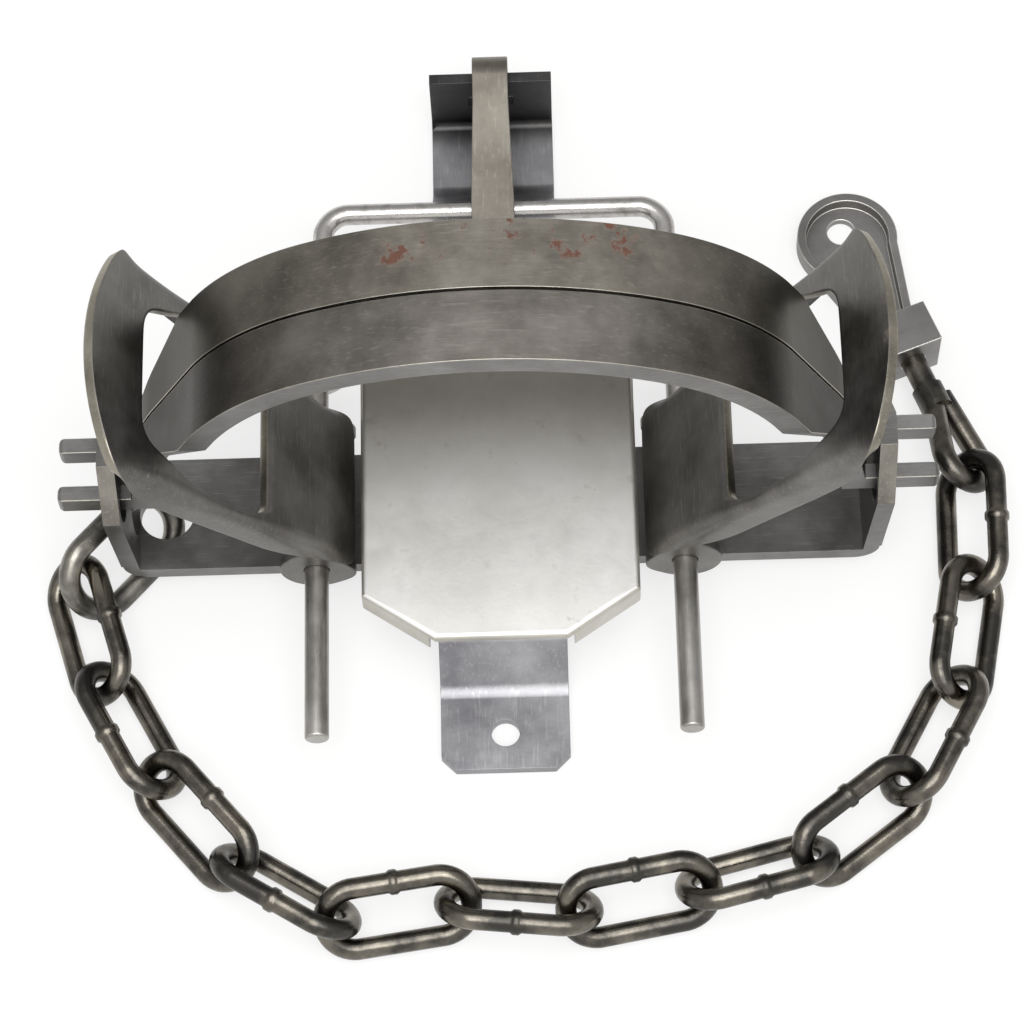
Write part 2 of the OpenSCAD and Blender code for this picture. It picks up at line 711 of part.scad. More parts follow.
module dog_profile() {
    drop = tan(dog_slope);
    rise = dog_inner_r / cos(dog_slope);
    bend_y = bridge_y - 4;
    bend_z = dog_bar_z + rise - (dog_axis_y - bend_y) * drop;
    thick = dog_t / cos(dog_slope);
    start_y = dog_axis_y - dog_inner_r * sin(dog_slope);
    start_z = dog_bar_z + dog_inner_r * cos(dog_slope);
    end_y = dog_axis_y - dog_outer_r * sin(dog_slope);
    end_z = dog_bar_z + dog_outer_r * cos(dog_slope);
    difference() {
        translate([dog_axis_y, dog_bar_z]) circle(dog_outer_r);
        translate([dog_axis_y, dog_bar_z]) circle(dog_inner_r);
        polygon([[dog_axis_y - 3 * dog_outer_r, dog_bar_z - 1.2], [dog_axis_y, dog_bar_z],
                 [dog_axis_y - 2, dog_bar_z + dog_inner_r], [start_y, start_z], [end_y, end_z],
                 [end_y - 10, end_z]]);
    }
    polygon([[start_y, start_z], [end_y, end_z], [bend_y, bend_z + thick], [dog_tip_y, bend_z + thick],
             [dog_tip_y, bend_z + thick - dog_t], [bend_y, bend_z]]);
}

module dog() {
    color("#8f8c84") intersection() {
        across(2 * dog_tip_w) dog_profile();
        linear_extrude(height = 2 * dog_post_h)
            polygon([[-dog_tip_w / 2, 0], [dog_tip_w / 2, 0], [dog_tip_w / 2, bridge_y],
                     [dog_w / 2, dog_post_y - dog_outer_r], [dog_w / 2, dog_post_y + 2 * dog_outer_r],
                     [-dog_w / 2, dog_post_y + 2 * dog_outer_r], [-dog_w / 2, dog_post_y - dog_outer_r],
                     [-dog_tip_w / 2, bridge_y]]);
    }
}

// Chain links: two straight sides and two round ends

module wire_link(wire, r, half) {
    for (side = [-1, 1]) {
        translate([-half, side * r, 0]) rotate([0, 90, 0]) cylinder(d = wire, h = 2 * half);
        translate([side * half, 0, 0]) rotate(side > 0 ? -90 : 90)
            rotate_extrude(angle = 180) translate([r, 0]) circle(d = wire);
    }
}

module weld_ring(wire, r, side) {
    translate([0, side * r, 0]) rotate([0, 90, 0]) rotate_extrude()
        translate([wire / 2 - 0.1, 0]) circle(d = 0.9);
}

module chain_link(i) {
    heading = link_headings[i - 1];
    tilt = link_tilts[i - 1];
    middle = (link_joint(i - 1) + link_joint(i)) / 2;
    color("#3a3834") translate([middle[0], middle[1], link_z(i)]) rotate(heading) rotate([tilt, 0, 0]) {
        wire_link(link_wire, link_r, link_half);
        weld_ring(link_wire, link_r, sign(tilt));
    }
}

module anchor_link() {
    at = [-anchor_tip[0], anchor_tip[1]] + anchor_reach * heading_vec(anchor_heading);
    color("#57554e") translate([at[0], at[1], anchor_z]) rotate(anchor_heading) rotate([anchor_tilt, 0, 0])
        wire_link(anchor_wire, anchor_r, anchor_half);
}

// Swivel, drawn with the shank along +X and the hook's ring at the origin

module swivel_place() {
    translate([hook_centre[0], hook_centre[1], hook_z]) rotate(swivel_heading) children();
}

module swivel_hook() {
    color("#4a4843") swivel_place() {
        rotate([hook_tilt, 0, 0]) {
            rotate(90 - stem_angle) rotate_extrude(angle = 180 + limb_angle + stem_angle)
                translate([hook_r, 0]) circle(d = hook_wire);
            rotate(limb_angle) translate([0, -hook_r, 0]) rotate([0, 90, 0]) cylinder(d = hook_wire, h = limb_len);
            rotate(-stem_angle) translate([0, hook_r, 0]) rotate([0, 90, 0])
                cylinder(d = hook_wire, h = hook_r / tan(stem_angle));
        }
        bar_x(shank_d + collar_swell, collar_x, collar_x + collar_len);
        bar_x(shank_d, collar_x + collar_len / 2, hook_r + stem_len + shank_len);
        bar_x(head_d, hook_r + stem_len + shank_len - head_t, hook_r + stem_len + shank_len);
    }
}

module strap_outline(inset) {
    circle(strap_r - inset);
    polygon([[-strap_len, -strap_neck_w / 2 + inset], [0, -strap_r + inset], [0, strap_r - inset],
             [-strap_len, strap_neck_w / 2 - inset]]);
}

module swivel_strap() {
    box_x = hook_r + stem_len;
    eye_x = box_x + box_len + strap_len;
    color("#a19f97") swivel_place() translate([0, 0, ground - hook_z]) difference() {
        union() {
            translate([eye_x, 0, 0]) linear_extrude(height = strap_rim) strap_outline(0);
            box([box_x, -box_w / 2, 0], [box_x + box_len, box_w / 2, box_h]);
        }
        translate([eye_x, 0, strap_t]) linear_extrude(height = strap_rim) strap_outline(strap_t);
        box([box_x + strap_t, -box_w / 2 + strap_t, strap_t],
            [box_x + box_len + 2, box_w / 2 - strap_t, box_h - strap_t]);
        translate([eye_x + 2.5, 0, -1]) cylinder(d = eye_d, h = strap_rim + 2);
        translate([0, 0, hook_z - ground]) bar_x(shank_d + 2 * running_gap, box_x - 1, box_x + strap_t + 1);
    }
}

base_strip();
cross_strip();
rivets();
front_jaw();
rear_jaw();
left_lever();
right_lever();
left_pin();
right_pin();
coil_spring();
pan();
pan_bolt();
pan_nut();
dog();
anchor_link();
for (i = [1:link_count])
    chain_link(i);
swivel_hook();
swivel_strap();
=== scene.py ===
"""Looks of a coil-spring foothold trap, fired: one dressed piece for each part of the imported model."""
from math import atan, cos, pi, radians, sin

import bpy
from mathutils import Matrix, Vector


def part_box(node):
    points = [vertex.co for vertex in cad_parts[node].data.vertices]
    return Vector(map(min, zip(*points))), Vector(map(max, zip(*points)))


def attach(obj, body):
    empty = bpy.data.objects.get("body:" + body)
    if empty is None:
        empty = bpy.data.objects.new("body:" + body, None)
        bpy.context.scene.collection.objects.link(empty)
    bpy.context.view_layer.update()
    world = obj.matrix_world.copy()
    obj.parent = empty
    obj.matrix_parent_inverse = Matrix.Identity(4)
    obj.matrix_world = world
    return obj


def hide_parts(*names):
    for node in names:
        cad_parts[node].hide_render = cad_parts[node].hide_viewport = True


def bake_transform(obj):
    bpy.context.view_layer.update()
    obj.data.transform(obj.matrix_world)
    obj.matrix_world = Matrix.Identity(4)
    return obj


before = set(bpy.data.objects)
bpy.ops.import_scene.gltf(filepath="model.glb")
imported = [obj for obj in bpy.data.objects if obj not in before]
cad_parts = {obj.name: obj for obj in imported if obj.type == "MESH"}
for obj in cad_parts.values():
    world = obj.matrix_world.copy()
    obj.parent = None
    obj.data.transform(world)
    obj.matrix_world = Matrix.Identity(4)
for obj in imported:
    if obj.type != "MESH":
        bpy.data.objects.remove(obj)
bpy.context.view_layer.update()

MM = 0.001
scene = bpy.context.scene

# Sizes that the part's source gives, in millimetres and degrees
GROUND = -4.3
PIN_X, PIN_H, PIN_D = 31.5, 8.5, 4.15
LEVER_RAISE = 57
PAN_TOP = 14.3
SPRING_WIRE, SPRING_R, SPRING_TURNS = 3.7, 4.625, 5
COIL_FROM, COIL_TO, COIL_EXIT_ANGLE = 22.9, 44.4, 30
LEG_REACH, LEG_HEIGHT, LEG_TIP_BACK = 32, -1.925, 3.2
EXIT_RUN, EXIT_PULL, EXIT_LEVEL = 6.5, 3, 4
BRIDGE_X, BRIDGE_Y, BRIDGE_Z, BRIDGE_BEND, BRIDGE_PULL = 30.4, 56.3, 6.95, 4.4, 2
LINK_WIRE, LINK_R, LINK_HALF, LINK_PITCH, LINK_TILT = 3.6, 5.4, 7, 20.3, 42
LINK_HEADINGS = (-74, -62, -50, -32, 8, -6, 10, 14, 37, 61, 79, 88)
LINK_TILTS = (1, -1, 1, -1.2, 0.95, -1, 1, -1, 1, -1, 1, -1)
CHAIN_START = (-74, -10.9)
ANCHOR_WIRE, ANCHOR_R, ANCHOR_HALF = 3.8, 6.5, 5
ANCHOR_HEADING, ANCHOR_TILT = 228, -52


# Finishes

def tone(code):
    """Linear colour of an sRGB hex value."""
    parts = [int(code[i:i + 2], 16) / 255 for i in (1, 3, 5)]
    return tuple(c / 12.92 if c <= 0.04045 else ((c + 0.055) / 1.055) ** 2.4 for c in parts) + (1,)


def per(size):
    """Texture scale whose features are about size millimetres across."""
    return 1 / (size * MM)


def add(tree, kind, settings=None, links=None):
    """Adds a node, with its settings and what feeds its sockets."""
    node = tree.nodes.new(kind)
    for name, value in (settings or {}).items():
        if isinstance(name, int) or name in node.inputs:
            node.inputs[name].default_value = value
        else:
            setattr(node, name, value)
    for name, source in (links or {}).items():
        tree.links.new(source, node.inputs[name])
    return node


def new_finish(name):
    """An empty finish: its tree, its shader and its coordinates."""
    finish = bpy.data.materials.new(name)
    finish.use_nodes = True
    tree = finish.node_tree
    shader = tree.nodes["Principled BSDF"]
    coords = add(tree, "ShaderNodeTexCoord").outputs["Object"]
    return finish, tree, shader, coords


def close_metal(tree, shader, colour, rough, bump):
    """Joins a metal's colour, roughness and relief to its shader."""
    shader.inputs["Metallic"].default_value = 1
    tree.links.new(colour, shader.inputs["Base Color"])
    tree.links.new(rough, shader.inputs["Roughness"])
    tree.links.new(bump, shader.inputs["Normal"])


def strip_steel(name, dull, dark, worn, roughness, grain=(1, 1, 1), shade=None, rust=None):
    """Hot-rolled and pickled strip steel, tumbled after stamping.

    A grey-brown metal with cloudy smudges some 15 mm wide, fine drawn scratches along the strip and
    a roughness that wanders, so that highlights are broad and uneven. shade is painted shade: it darkens
    the colour over a span of one axis, both ways from the middle, and rust gives the box where small
    red-brown blooms show, both in millimetres.
    """
    finish, tree, shader, coords = new_finish(name)
    cloud = add(tree, "ShaderNodeTexNoise", {"Scale": per(15), "Detail": 5, "Roughness": 0.62},
                {"Vector": coords})
    smudge = add(tree, "ShaderNodeMapRange", {"From Min": 0.34, "From Max": 0.7},
                 {"Value": cloud.outputs["Fac"]})
    colour = add(tree, "ShaderNodeMix", {"data_type": "RGBA", 6: tone(dark), 7: tone(dull)},
                 {0: smudge.outputs[0]})
    # Scratches are drawn 0.5 mm wide, coarser than the real ones, so that they show
    stretched = add(tree, "ShaderNodeMapping", {"Scale": grain}, {"Vector": coords})
    scratch = add(tree, "ShaderNodeTexNoise", {"Scale": per(0.5), "Detail": 3, "Roughness": 0.7},
                  {"Vector": stretched.outputs[0]})
    bright = add(tree, "ShaderNodeMapRange", {"From Min": 0.55, "From Max": 0.8, "To Max": 0.55},
                 {"Value": scratch.outputs["Fac"]})
    colour = add(tree, "ShaderNodeMix", {"data_type": "RGBA", 7: tone(worn)},
                 {0: bright.outputs[0], 6: colour.outputs[2]})
    speck = add(tree, "ShaderNodeTexNoise", {"Scale": per(1.6), "Detail": 4, "Roughness": 0.75},
                {"Vector": coords})
    soot = add(tree, "ShaderNodeMapRange", {"From Min": 0.6, "From Max": 0.75, "To Max": 0.4},
               {"Value": speck.outputs["Fac"]})
    colour = add(tree, "ShaderNodeMix", {"data_type": "RGBA", 7: tone(dark)},
                 {0: soot.outputs[0], 6: colour.outputs[2]})
    # Painted shade: over the span the colour is multiplied towards a dark grey, #55524c
    if shade:
        axis, near, far, amount = shade
        place = add(tree, "ShaderNodeSeparateXYZ", links={0: coords})
        away = add(tree, "ShaderNodeMath", {"operation": "ABSOLUTE"}, {0: place.outputs[axis]})
        fall = add(tree, "ShaderNodeMapRange",
                   {"From Min": near * MM, "From Max": far * MM, "To Max": amount,
                    "interpolation_type": "SMOOTHSTEP"}, {"Value": away.outputs[0]})
        colour = add(tree, "ShaderNodeMix",
                     {"data_type": "RGBA", "blend_type": "MULTIPLY", 7: tone("#55524c")},
                     {0: fall.outputs[0], 6: colour.outputs[2]})
    rough = add(tree, "ShaderNodeMapRange", {"From Min": 0.3, "From Max": 0.7, "To Min": roughness - 0.09,
                                             "To Max": roughness + 0.09}, {"Value": cloud.outputs["Fac"]})
    if rust:
        low, high = rust
        place = add(tree, "ShaderNodeSeparateXYZ", links={0: coords})
        bloom = add(tree, "ShaderNodeTexNoise", {"Scale": per(5.5), "Detail": 5, "Roughness": 0.68},
                    {"Vector": coords})
        mask = add(tree, "ShaderNodeMapRange", {"From Min": 0.56, "From Max": 0.62},
                   {"Value": bloom.outputs["Fac"]})
        for axis in range(3):
            middle, half = (low[axis] + high[axis]) / 2 * MM, (high[axis] - low[axis]) / 2 * MM
            shift = add(tree, "ShaderNodeMath", {"operation": "SUBTRACT", 1: middle},
                        {0: place.outputs[axis]})
            away = add(tree, "ShaderNodeMath", {"operation": "ABSOLUTE"}, {0: shift.outputs[0]})
            inside = add(tree, "ShaderNodeMapRange",
                         {"From Min": half * 0.8, "From Max": half, "To Min": 1, "To Max": 0},
                         {"Value": away.outputs[0]})
            mask = add(tree, "ShaderNodeMath", {"operation": "MULTIPLY"},
                       {0: mask.outputs[0], 1: inside.outputs[0]})
        grit = add(tree, "ShaderNodeMix", {"data_type": "RGBA", 6: tone("#43302a"), 7: tone("#6b4230")},
                   {0: speck.outputs["Fac"]})
        colour = add(tree, "ShaderNodeMix", {"data_type": "RGBA"},
                     {0: mask.outputs[0], 6: colour.outputs[2], 7: grit.outputs[2]})
        rough = add(tree, "ShaderNodeMath", {"operation": "MULTIPLY_ADD", 1: 0.35},
                    {0: mask.outputs[0], 2: rough.outputs[0]})
        metal = add(tree, "ShaderNodeMath", {"operation": "SUBTRACT", 0: 1.0}, {1: mask.outputs[0]})
        tree.links.new(metal.outputs[0], shader.inputs["Metallic"])
    relief = add(tree, "ShaderNodeMath", {"operation": "MULTIPLY_ADD", 1: 0.5},
                 {0: scratch.outputs["Fac"], 2: speck.outputs["Fac"]})
    bump = add(tree, "ShaderNodeBump", {"Strength": 0.22, "Distance": 0.12 * MM},
               {"Height": relief.outputs[0]})
    close_metal(tree, shader, colour.outputs[2], rough.outputs[0], bump.outputs[0])
    return finish


def zinc_plate(name, clean, dusty, stain, roughness, shade=None):
    """Bright zinc plating on sheet steel: a pale silver with a fine sandy grain and a few grey finger marks.

    shade is painted shade: it gives the span along Y, in millimetres, over which the colour darkens
    towards the rear, and how much.
    """
    finish, tree, shader, coords = new_finish(name)
    cloud = add(tree, "ShaderNodeTexNoise", {"Scale": per(22), "Detail": 4, "Roughness": 0.55},
                {"Vector": coords})
    smudge = add(tree, "ShaderNodeMapRange", {"From Min": 0.35, "From Max": 0.65},
                 {"Value": cloud.outputs["Fac"]})
    colour = add(tree, "ShaderNodeMix", {"data_type": "RGBA", 6: tone(dusty), 7: tone(clean)},
                 {0: smudge.outputs[0]})
    grain = add(tree, "ShaderNodeTexNoise", {"Scale": per(0.7), "Detail": 2, "Roughness": 0.6},
                {"Vector": coords})
    mark = add(tree, "ShaderNodeTexNoise", {"Scale": per(4), "Detail": 6, "Roughness": 0.7},
               {"Vector": coords})
    spots = add(tree, "ShaderNodeMapRange", {"From Min": 0.62, "From Max": 0.74, "To Max": 0.5},
                {"Value": mark.outputs["Fac"]})
    colour = add(tree, "ShaderNodeMix", {"data_type": "RGBA", 7: tone(stain)},
                 {0: spots.outputs[0], 6: colour.outputs[2]})
    # Painted shade: along Y the colour is multiplied towards a grey, #79756f, darker towards the rear
    if shade:
        clear, full, amount = shade
        place = add(tree, "ShaderNodeSeparateXYZ", links={0: coords})
        fall = add(tree, "ShaderNodeMapRange",
                   {"From Min": clear * MM, "From Max": full * MM, "To Max": amount,
                    "interpolation_type": "SMOOTHSTEP"}, {"Value": place.outputs["Y"]})
        colour = add(tree, "ShaderNodeMix",
                     {"data_type": "RGBA", "blend_type": "MULTIPLY", 7: tone("#79756f")},
                     {0: fall.outputs[0], 6: colour.outputs[2]})
    rough = add(tree, "ShaderNodeMapRange", {"From Min": 0.3, "From Max": 0.7, "To Min": roughness - 0.07,
                                             "To Max": roughness + 0.07}, {"Value": mark.outputs["Fac"]})
    bump = add(tree, "ShaderNodeBump", {"Strength": 0.2, "Distance": 0.08 * MM},
               {"Height": grain.outputs["Fac"]})
    close_metal(tree, shader, colour.outputs[2], rough.outputs[0], bump.outputs[0])
    return finish


def chain_steel(name, black, warm, roughness):
    """Welded chain, tumbled bright over a black heat scale: dark in patches, warm grey where it is worn."""
    finish, tree, shader, coords = new_finish(name)
    rub = add(tree, "ShaderNodeTexNoise", {"Scale": per(8), "Detail": 5, "Roughness": 0.6},
              {"Vector": coords})
    worn = add(tree, "ShaderNodeMapRange", {"From Min": 0.42, "From Max": 0.68},
               {"Value": rub.outputs["Fac"]})
    colour = add(tree, "ShaderNodeMix", {"data_type": "RGBA", 6: tone(black), 7: tone(warm)},
                 {0: worn.outputs[0]})
    scale = add(tree, "ShaderNodeTexNoise", {"Scale": per(0.9), "Detail": 3, "Roughness": 0.7},
                {"Vector": coords})
    rough = add(tree, "ShaderNodeMapRange", {"From Min": 0.3, "From Max": 0.7, "To Min": roughness + 0.1,
                                             "To Max": roughness - 0.08}, {"Value": rub.outputs["Fac"]})
    bump = add(tree, "ShaderNodeBump", {"Strength": 0.3, "Distance": 0.12 * MM},
               {"Height": scale.outputs["Fac"]})
    close_metal(tree, shader, colour.outputs[2], rough.outputs[0], bump.outputs[0])
    return finish


def drawn_wire(name, bright, grey, roughness):
    """Hard-drawn spring wire: bright, with a fine grain and a few grey rub marks."""
    finish, tree, shader, coords = new_finish(name)
    rub = add(tree, "ShaderNodeTexNoise", {"Scale": per(3), "Detail": 5, "Roughness": 0.65},
              {"Vector": coords})
    marks = add(tree, "ShaderNodeMapRange", {"From Min": 0.5, "From Max": 0.75},
                {"Value": rub.outputs["Fac"]})
    colour = add(tree, "ShaderNodeMix", {"data_type": "RGBA", 6: tone(bright), 7: tone(grey)},
                 {0: marks.outputs[0]})
    grain = add(tree, "ShaderNodeTexNoise", {"Scale": per(0.5), "Detail": 2}, {"Vector": coords})
    rough = add(tree, "ShaderNodeMapRange", {"From Min": 0.3, "From Max": 0.7, "To Min": roughness - 0.06,
                                             "To Max": roughness + 0.1}, {"Value": rub.outputs["Fac"]})
    bump = add(tree, "ShaderNodeBump", {"Strength": 0.12, "Distance": 0.05 * MM},
               {"Height": grain.outputs["Fac"]})
    close_metal(tree, shader, colour.outputs[2], rough.outputs[0], bump.outputs[0])
    return finish


# Both jaws hold painted shade, darker towards the shoulders from about 20 mm to 60 mm either side of the
# middle
jaw_front_steel = strip_steel("jaw_front_strip_steel", "#8f8a84", "#66625c", "#a8a49b", 0.42, (0.06, 1, 1),
                              shade=(0, 18, 58, 0.95))
jaw_rear_steel = strip_steel("jaw_rear_strip_steel", "#9c978d", "#706c64", "#b1aca1", 0.42, (0.06, 1, 1),
                             shade=(0, 22, 60, 0.92), rust=((-24, 5, 76), (27, 14, 84)))
jaw_edge_steel = strip_steel("jaw_sheared_edge", "#b4b0a6", "#8b877e", "#cbc7bc", 0.36, (0.1, 1, 1))
jaw_face_steel = strip_steel("jaw_front_face", "#949391", "#6e6d6b", "#b3b1ad", 0.4, (0.1, 1, 1))
lever_steel = strip_steel("lever_stamped_steel", "#8d8b88", "#666461", "#a8a5a0", 0.46, (1, 0.1, 1))
lever_rusty_steel = strip_steel("lever_stamped_steel_right", "#8d8b88", "#666461", "#a8a5a0", 0.46,
                                (1, 0.1, 1), rust=((62, -6, 62), (80, 20, 76)))
lever_edge_steel = strip_steel("lever_sheared_edge", "#aba698", "#7d786d", "#c9c4b6", 0.38, (1, 1, 0.2))
base_steel = strip_steel("base_strip_steel", "#8f8e8d", "#666563", "#aeaca8", 0.42, (0.08, 1, 1))
base_edge_steel = strip_steel("base_sheared_edge", "#96928a", "#6b6760", "#b3afa5", 0.4)
# The cross strip holds painted shade over the post at its rear end, from 73.5 mm to 79 mm behind the middle
cross_steel = strip_steel("cross_strip_steel", "#adadaf", "#828185", "#c6c5c4", 0.44, (1, 0.08, 1),
                          shade=(1, 73.5, 79, 0.85))
dog_steel = strip_steel("dog_strip_steel", "#9b968c", "#777269", "#b4afa4", 0.46, (1, 0.08, 1))
pin_steel = strip_steel("spring_pin_steel", "#c4c1bd", "#918e89", "#d6d3ce", 0.38, (1, 0.08, 1))
anchor_steel = chain_steel("anchor_link_steel", "#5a5854", "#a19d94", 0.34)
link_steel = chain_steel("chain_link_steel", "#454340", "#837d72", 0.25)
hook_steel = chain_steel("swivel_hook_steel", "#42403d", "#7b766d", 0.27)
# The pan holds painted shade, darkening from 10 mm in front of the trap's middle line to 18 mm behind it
pan_zinc = zinc_plate("pan_zinc_plate", "#ecebe8", "#dcdad5", "#b5b3ad", 0.56, shade=(-10, 18, 0.95))
pan_edge_zinc = zinc_plate("pan_worn_zinc_edge", "#d2cfc8", "#b5b1a8", "#8f8b83", 0.5)
strap_zinc = zinc_plate("swivel_strap_zinc", "#8f8d8b", "#6f6d6b", "#55534f", 0.42)
strap_rim_zinc = zinc_plate("swivel_strap_bright_rim", "#d0cec9", "#a8a5a0", "#7b7874", 0.3)
spring_steel = drawn_wire("coil_spring_wire", "#c4c1be", "#8e8a86", 0.27)


# Ways of working

# How near, in metres, points are merged, and the turn in degrees up to which faces count as flat
SAME_POINT, SAME_CAD_POINT, MIRROR_MERGE = 1e-6, 2e-6, 2e-5
FLAT_ANGLE = 1.5
# How near to a line or plane, in millimetres, a point counts as on it
ON_LINE = 0.02


def work_on(piece):
    """Makes a piece the only one selected, and active."""
    bpy.ops.object.select_all(action="DESELECT")
    piece.select_set(True)
    bpy.context.view_layer.objects.active = piece


def copy_of(node, name, *finishes):
    """A piece in a node's place: its loose triangles merged and its flat faces made whole."""
    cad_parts[node].hide_viewport = False
    work_on(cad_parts[node])
    bpy.ops.object.duplicate()
    piece = bpy.context.active_object
    piece.name = name
    piece.parent = None
    for key in list(piece.keys()):
        del piece[key]
    bpy.ops.mesh.customdata_custom_splitnormals_clear()
    bpy.ops.object.mode_set(mode="EDIT")
    bpy.ops.mesh.select_all(action="SELECT")
    bpy.ops.mesh.remove_doubles(threshold=SAME_CAD_POINT)
    bpy.ops.mesh.dissolve_limited(angle_limit=radians(FLAT_ANGLE))
    bpy.ops.object.mode_set(mode="OBJECT")
    piece.data.materials.clear()
    for finish in finishes:
        piece.data.materials.append(finish)
    return piece


def clear_picks(piece, kind):
    """Takes every pick of a kind, VERT or EDGE, off a piece."""
    work_on(piece)
    bpy.ops.object.mode_set(mode="EDIT")
    bpy.ops.mesh.select_mode(type=kind)
    bpy.ops.mesh.select_all(action="DESELECT")
    bpy.ops.object.mode_set(mode="OBJECT")


def pick_points(piece, picked):
    """Opens a piece in edit mode with the points selected for which picked holds, in millimetres."""
    clear_picks(piece, "VERT")
    for point in piece.data.vertices:
        point.select = picked(point.co / MM)
    bpy.ops.object.mode_set(mode="EDIT")


def pick_edges(piece, picked):
    """Opens a piece in edit mode with edges selected; picked gets their two ends, in millimetres."""
    clear_picks(piece, "EDGE")
    points = piece.data.vertices
    for edge in piece.data.edges:
        edge.select = picked(*(points[i].co / MM for i in edge.vertices))
    bpy.ops.object.mode_set(mode="EDIT")


def bend_edges(piece, picked, width, segments):
    """Rounds the edges for which picked holds."""
    pick_edges(piece, picked)
    bpy.ops.mesh.bevel(offset=width * MM, segments=segments, affect="EDGES")
    bpy.ops.object.mode_set(mode="OBJECT")


def paint_faces(piece, slot, picked):
    """Gives a finish to faces; picked gets their middle, in millimetres, and their normal."""
    for face in piece.data.polygons:
        if picked(face.center / MM, face.normal):
            face.material_index = slot


def apply_modifier(piece, kind, **settings):
    """Puts a modifier on a piece and applies it."""
    work_on(piece)
    modifier = piece.modifiers.new("step", kind)
    for name, value in settings.items():
        setattr(modifier, name, value)
    bpy.ops.object.modifier_apply(modifier=modifier.name)


def smooth(piece, angle=38):
    """Shades a piece smooth up to an angle, with its flat faces kept flat."""
    work_on(piece)
    bpy.ops.object.shade_smooth_by_angle(angle=radians(angle))
    apply_modifier(piece, "WEIGHTED_NORMAL", keep_sharp=True)


def round_edges(piece, width, segments=3, slot=-1, angle=30):
    """Takes the sharpness off every edge, with a worn finish there if slot names one."""
    apply_modifier(piece, "BEVEL", width=width * MM, segments=segments, material=slot,
                   limit_method="ANGLE", angle_limit=radians(angle))
    smooth(piece)


def fit(piece, node, body):
    """Hides the node that a piece takes the place of, and hangs the piece on the body that it rides on."""
    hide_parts(node)
    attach(piece, body)


# Jaws: rolled strip bent on edge, with square tangs

# Above the legs' ends the outer faces are paler, and so are the tangs, outside the posts. Both stay out
# of the jaws' painted shade, and on the tangs the paler finish is painted light
JAW_FACE_FROM, TANG_FROM = 24, 66
TANG_END, TANG_ROUND = 0.05, 0.9

for name, node, finish, side in (("jaw_front", "front_jaw", jaw_front_steel, -1),
                                 ("jaw_rear", "rear_jaw", jaw_rear_steel, 1)):
    jaw = copy_of(node, name, finish, jaw_edge_steel, jaw_face_steel)
    paint_faces(jaw, 2, lambda p, n: n.y * side > 0.9 and p.z > JAW_FACE_FROM)
    paint_faces(jaw, 2, lambda p, n: abs(p.x) > TANG_FROM)
    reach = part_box(node)[1].x / MM - TANG_END
    bend_edges(jaw, lambda p, q: abs(p.x) > reach and abs(q.x) > reach, TANG_ROUND, 4)
    round_edges(jaw, 0.55, slot=1)
    fit(jaw, node, node + "_body")


# Levers: stamped sheet frames with turned-down flanges, and ears that the pin goes through

# Stations round half the frame, from the middle of the crossbar to the middle of the outer bar, in
# millimetres: a point on the opening's edge (outward, across), one on the outer edge, the way that the outer
# edge faces in degrees, the width that is rolled and the flange's depth
ARM_FACING = 96.6
LEVER_STATIONS = (
    ((22, 0), (-2.5, 0), 180, 2, 0), ((22, 4), (-2.5, 4.2), 180, 2, 0), ((22, 8), (-2.5, 8), 180, 2, 0),
    ((22, 10.4), (-2.5, 11), 180, 2, 0), ((22.1, 11.7), (-1.9, 14.3), 110, 3, 0),
    ((22.4, 12.5), (1.5, 14.5), ARM_FACING, 2.8, 0.8), ((22.9, 13.05), (5, 14.5), ARM_FACING, 2.6, 2.8),
    ((23.6, 13.5), (9.5, 14.9), ARM_FACING, 2.6, 5), ((24.5, 13.95), (14.5, 15.5), ARM_FACING, 2.5, 6),
    ((25.6, 14.4), (19.5, 16.05), ARM_FACING, 2.1, 6), ((26.9, 14.9), (24, 16.55), ARM_FACING, 1.6, 6),
    ((28.6, 15.4), (28.5, 17.1), ARM_FACING, 1.2, 6), ((32.5, 15.6), (32.5, 17.55), ARM_FACING, 1.4, 6),
    ((37, 15.6), (37, 18.1), ARM_FACING, 1.9, 6), ((41.5, 15.5), (42, 18.65), ARM_FACING, 2.5, 6),
    ((45, 14.5), (46.5, 19.15), ARM_FACING, 3.2, 5.8), ((47.6, 13.5), (50.5, 19.6), ARM_FACING, 3.4, 5),
    ((50.5, 12.8), (54, 20), ARM_FACING, 3.4, 3.4), ((52.8, 12), (57, 20.3), 90, 3.4, 1.6),
    ((54.2, 10.6), (59.8, 20.3), 60, 3, 0.4), ((54.8, 9.2), (61.5, 19.3), 45, 3, 0),
    ((55, 7.5), (63.3, 16.7), 32, 3, 0), ((55, 5), (65.66, 12), 22, 3, 0),
    ((55, 2.5), (67.37, 6.3), 11, 3, 0), ((55, 0), (68, 0), 0, 3, 0))
LEVER_TOP, LEVER_T, LEVER_CREASE = 6.325, 1.8, 0.8
EAR_Y, EAR_T, EAR_R, EAR_TOP, EAR_PLAY, EAR_STEPS = 12.0, 2.0, 6.3, 5.4, 0.05, 64
# The power of the curve that squares the ears' upper half; 2 would leave it round
EAR_POWER = 4
FLAT_STEPS, BEND_STEPS = 3, 6


def lever_point(u, y, h, side=1):
    """A lever's own directions, outward along the sheet, across it and up from its pin, made the part's."""
    a = radians(LEVER_RAISE)
    return Vector((side * (PIN_X + u * cos(a) - h * sin(a)), y, PIN_H + u * sin(a) + h * cos(a)))


